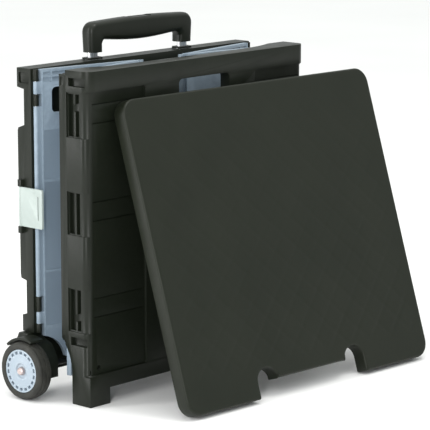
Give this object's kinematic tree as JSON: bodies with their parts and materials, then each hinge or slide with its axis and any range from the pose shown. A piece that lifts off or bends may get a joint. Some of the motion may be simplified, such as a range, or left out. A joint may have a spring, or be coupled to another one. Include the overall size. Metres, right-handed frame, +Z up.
{
  "type": "folding crate trolley",
  "caption": "Folded crate trolley: front and rear panels joined by folding side leaves, telescoping handle, wheels on an axle, and a lift-off lid leaning on its front.",
  "frame": {"origin": "middle of the whole object footprint, lid and wheels included, at floor level", "axes": "+X to the right along the panels, +Y to the back where the wheels and handle are, +Z up"},
  "size_m": [0.4996, 0.2698, 0.444],
  "materials": {
    "black_plastic": "fine moulded grain",
    "grey_plastic": "satin",
    "latch_plastic": "satin",
    "hub_plastic": "satin",
    "tyre": "matte",
    "aluminium": "drawn",
    "steel": "zinc plated"
  },
  "bodies": {
    "rear_panel": {"rear_panel": "black_plastic", "floor_panel": "grey_plastic", "wheel_housing_left": "black_plastic", "wheel_housing_right": "black_plastic", "axle": "steel", "axle_cap_left": "steel", "axle_cap_right": "steel", "rear_hinge_pin_left": "steel", "rear_hinge_pin_right": "steel", "floor_pin_left": "steel", "floor_pin_right": "steel", "latch_pin_left": "steel", "latch_pin_right": "steel", "outer_tube_left": "aluminium", "outer_tube_right": "aluminium"},
    "left_rear_leaf": {"rear_leaf_left": "grey_plastic", "middle_hinge_pin_left": "steel"},
    "left_front_leaf": {"front_leaf_left": "grey_plastic"},
    "right_rear_leaf": {"rear_leaf_right": "grey_plastic", "middle_hinge_pin_right": "steel"},
    "right_front_leaf": {"front_leaf_right": "grey_plastic"},
    "front_panel": {"front_panel": "black_plastic", "front_hinge_pin_left": "steel", "front_hinge_pin_right": "steel"},
    "lid": {"lid": "black_plastic"},
    "left_wheel": {"tyre_left": "tyre", "hub_left": "hub_plastic"},
    "right_wheel": {"tyre_right": "tyre", "hub_right": "hub_plastic"},
    "left_latch": {"latch_left": "latch_plastic"},
    "right_latch": {"latch_right": "latch_plastic"},
    "middle_tubes": {"middle_tube_left": "aluminium", "middle_tube_right": "aluminium", "tube_collar_left": "black_plastic", "tube_collar_right": "black_plastic"},
    "handle": {"inner_tube_left": "aluminium", "inner_tube_right": "aluminium", "handle_grip": "black_plastic"},
    "release_button": {"release_button": "black_plastic"}
  },
  "joints": [
    {"name": "left_rear_leaf_hinge", "type": "hinge", "parent": "rear_panel", "child": "left_rear_leaf", "pos_m": [-0.21246, 0.10398, 0.24], "axis": [0, 0, -1], "range_deg": [0, 80.81]},
    {"name": "left_middle_hinge", "type": "hinge", "parent": "left_rear_leaf", "child": "left_front_leaf", "pos_m": [-0.05945, 0.07923, 0.24], "axis": [0, 0, -1], "range_deg": [-161.63, 0]},
    {"name": "left_front_panel_hinge", "type": "hinge", "parent": "left_front_leaf", "child": "front_panel", "pos_m": [-0.21246, 0.05448, 0.24], "axis": [0, 0, -1], "range_deg": [0, 80.81]},
    {"name": "right_rear_leaf_hinge", "type": "hinge", "parent": "rear_panel", "child": "right_rear_leaf", "pos_m": [0.16354, 0.10398, 0.24], "axis": [0, 0, -1], "range_deg": [-80.81, 0]},
    {"name": "right_middle_hinge", "type": "hinge", "parent": "right_rear_leaf", "child": "right_front_leaf", "pos_m": [0.01052, 0.07923, 0.24], "axis": [0, 0, -1], "range_deg": [0, 161.63]},
    {"name": "lid_lift", "type": "slide", "parent": "front_panel", "child": "lid", "axis": [0, 0, 1], "range_m": [0, 0.42]},
    {"name": "left_wheel_spin", "type": "hinge", "parent": "rear_panel", "child": "left_wheel", "pos_m": [-0.23797, 0.09988, 0.0352], "axis": [1, 0, 0], "continuous": true},
    {"name": "right_wheel_spin", "type": "hinge", "parent": "rear_panel", "child": "right_wheel", "pos_m": [0.18904, 0.09988, 0.0352], "axis": [1, 0, 0], "continuous": true},
    {"name": "left_latch_hinge", "type": "hinge", "parent": "rear_panel", "child": "left_latch", "pos_m": [-0.22037, 0.12438, 0.2295], "axis": [0, 0, -1], "range_deg": [0, 90]},
    {"name": "right_latch_hinge", "type": "hinge", "parent": "rear_panel", "child": "right_latch", "pos_m": [0.17144, 0.12438, 0.2295], "axis": [0, 0, 1], "range_deg": [0, 90]},
    {"name": "lower_tube_slide", "type": "slide", "parent": "rear_panel", "child": "middle_tubes", "axis": [0, 0, 1], "range_m": [0, 0.27]},
    {"name": "upper_tube_slide", "type": "slide", "parent": "middle_tubes", "child": "handle", "axis": [0, 0, 1], "range_m": [0, 0.27]},
    {"name": "button_press", "type": "slide", "parent": "handle", "child": "release_button", "axis": [0, 0, -1], "range_m": [0, 0.004], "stiffness_N_per_m": 400, "springref_m": -0.0005}
  ],
  "couplings": [
    {"joint": "left_middle_hinge", "follows": "left_rear_leaf_hinge", "ratio": -2},
    {"joint": "left_front_panel_hinge", "follows": "left_rear_leaf_hinge", "ratio": 1},
    {"joint": "right_rear_leaf_hinge", "follows": "left_rear_leaf_hinge", "ratio": -1},
    {"joint": "right_middle_hinge", "follows": "left_rear_leaf_hinge", "ratio": 2}
  ]
}
